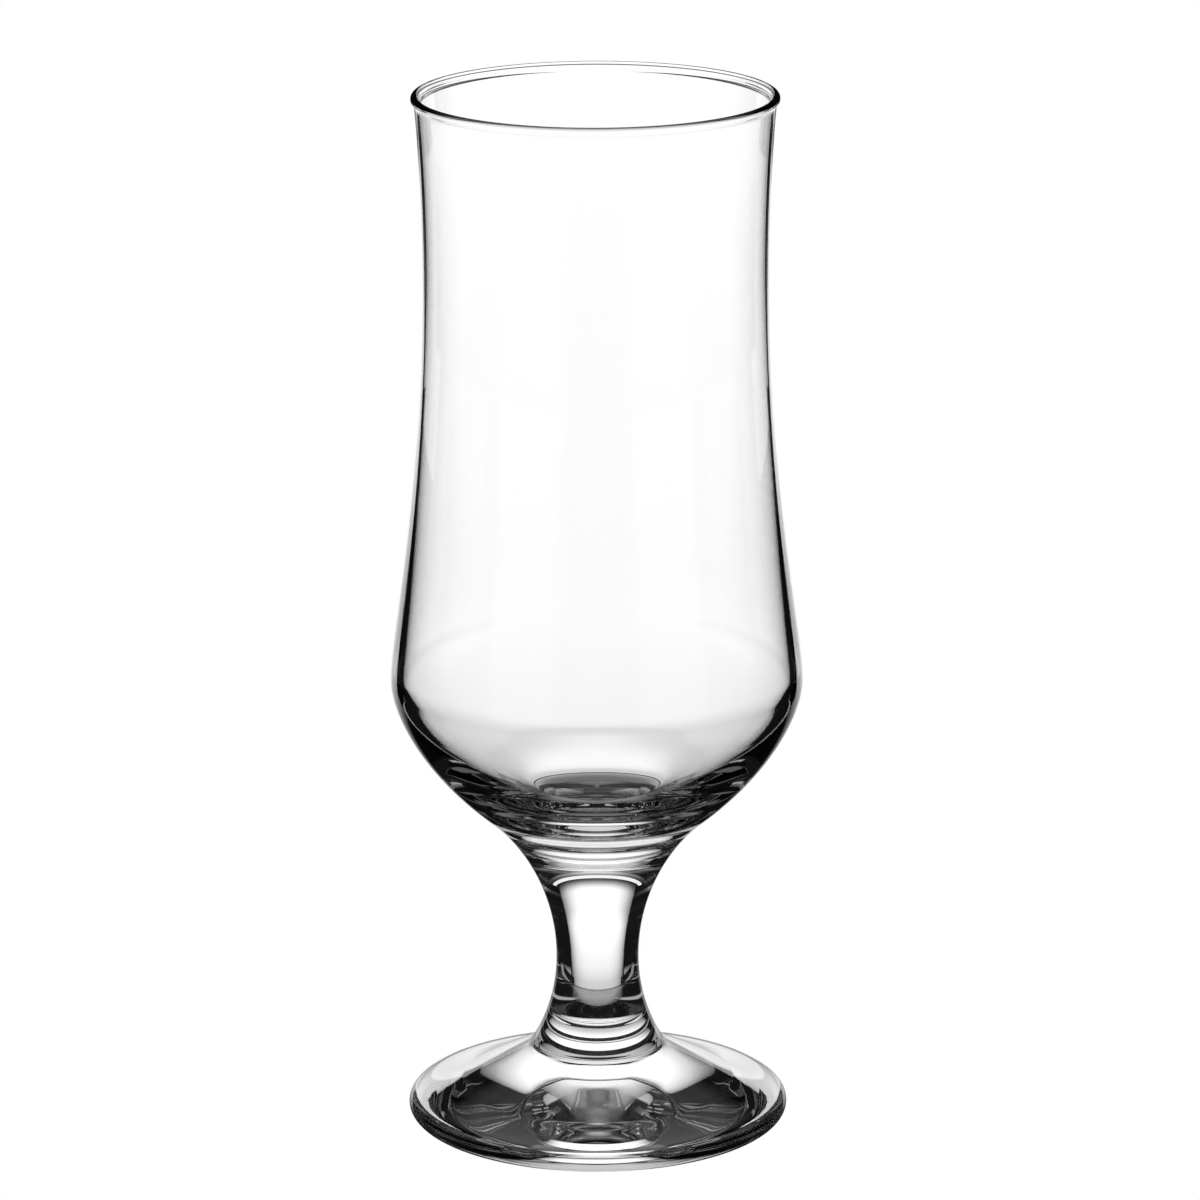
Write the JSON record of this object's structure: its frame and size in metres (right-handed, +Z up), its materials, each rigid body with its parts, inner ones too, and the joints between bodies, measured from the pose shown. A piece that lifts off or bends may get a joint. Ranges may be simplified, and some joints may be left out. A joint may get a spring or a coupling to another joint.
{
  "type": "beer glass",
  "caption": "Footed clear beer glass: tall waisted bowl with a rounded shoulder and beaded rim, fused to a solid drawn-in stem on a hollowed round foot.",
  "frame": {"origin": "centre of the flat ring that the foot rests on", "axes": "+Z up along the axis that the glass is turned about; X and Y are level, and the glass is the same all round"},
  "size_m": [0.0754, 0.0754, 0.192],
  "materials": {
    "fire_polished_glass": "clear soda-lime glass, fire-polished, very smooth and glossy",
    "pressed_glass": "clear soda-lime glass, pressed, glossy with faint chill ripples"
  },
  "bodies": {
    "root": {"bowl": "fire_polished_glass", "stem": "fire_polished_glass", "foot": "pressed_glass"}
  },
  "joints": []
}
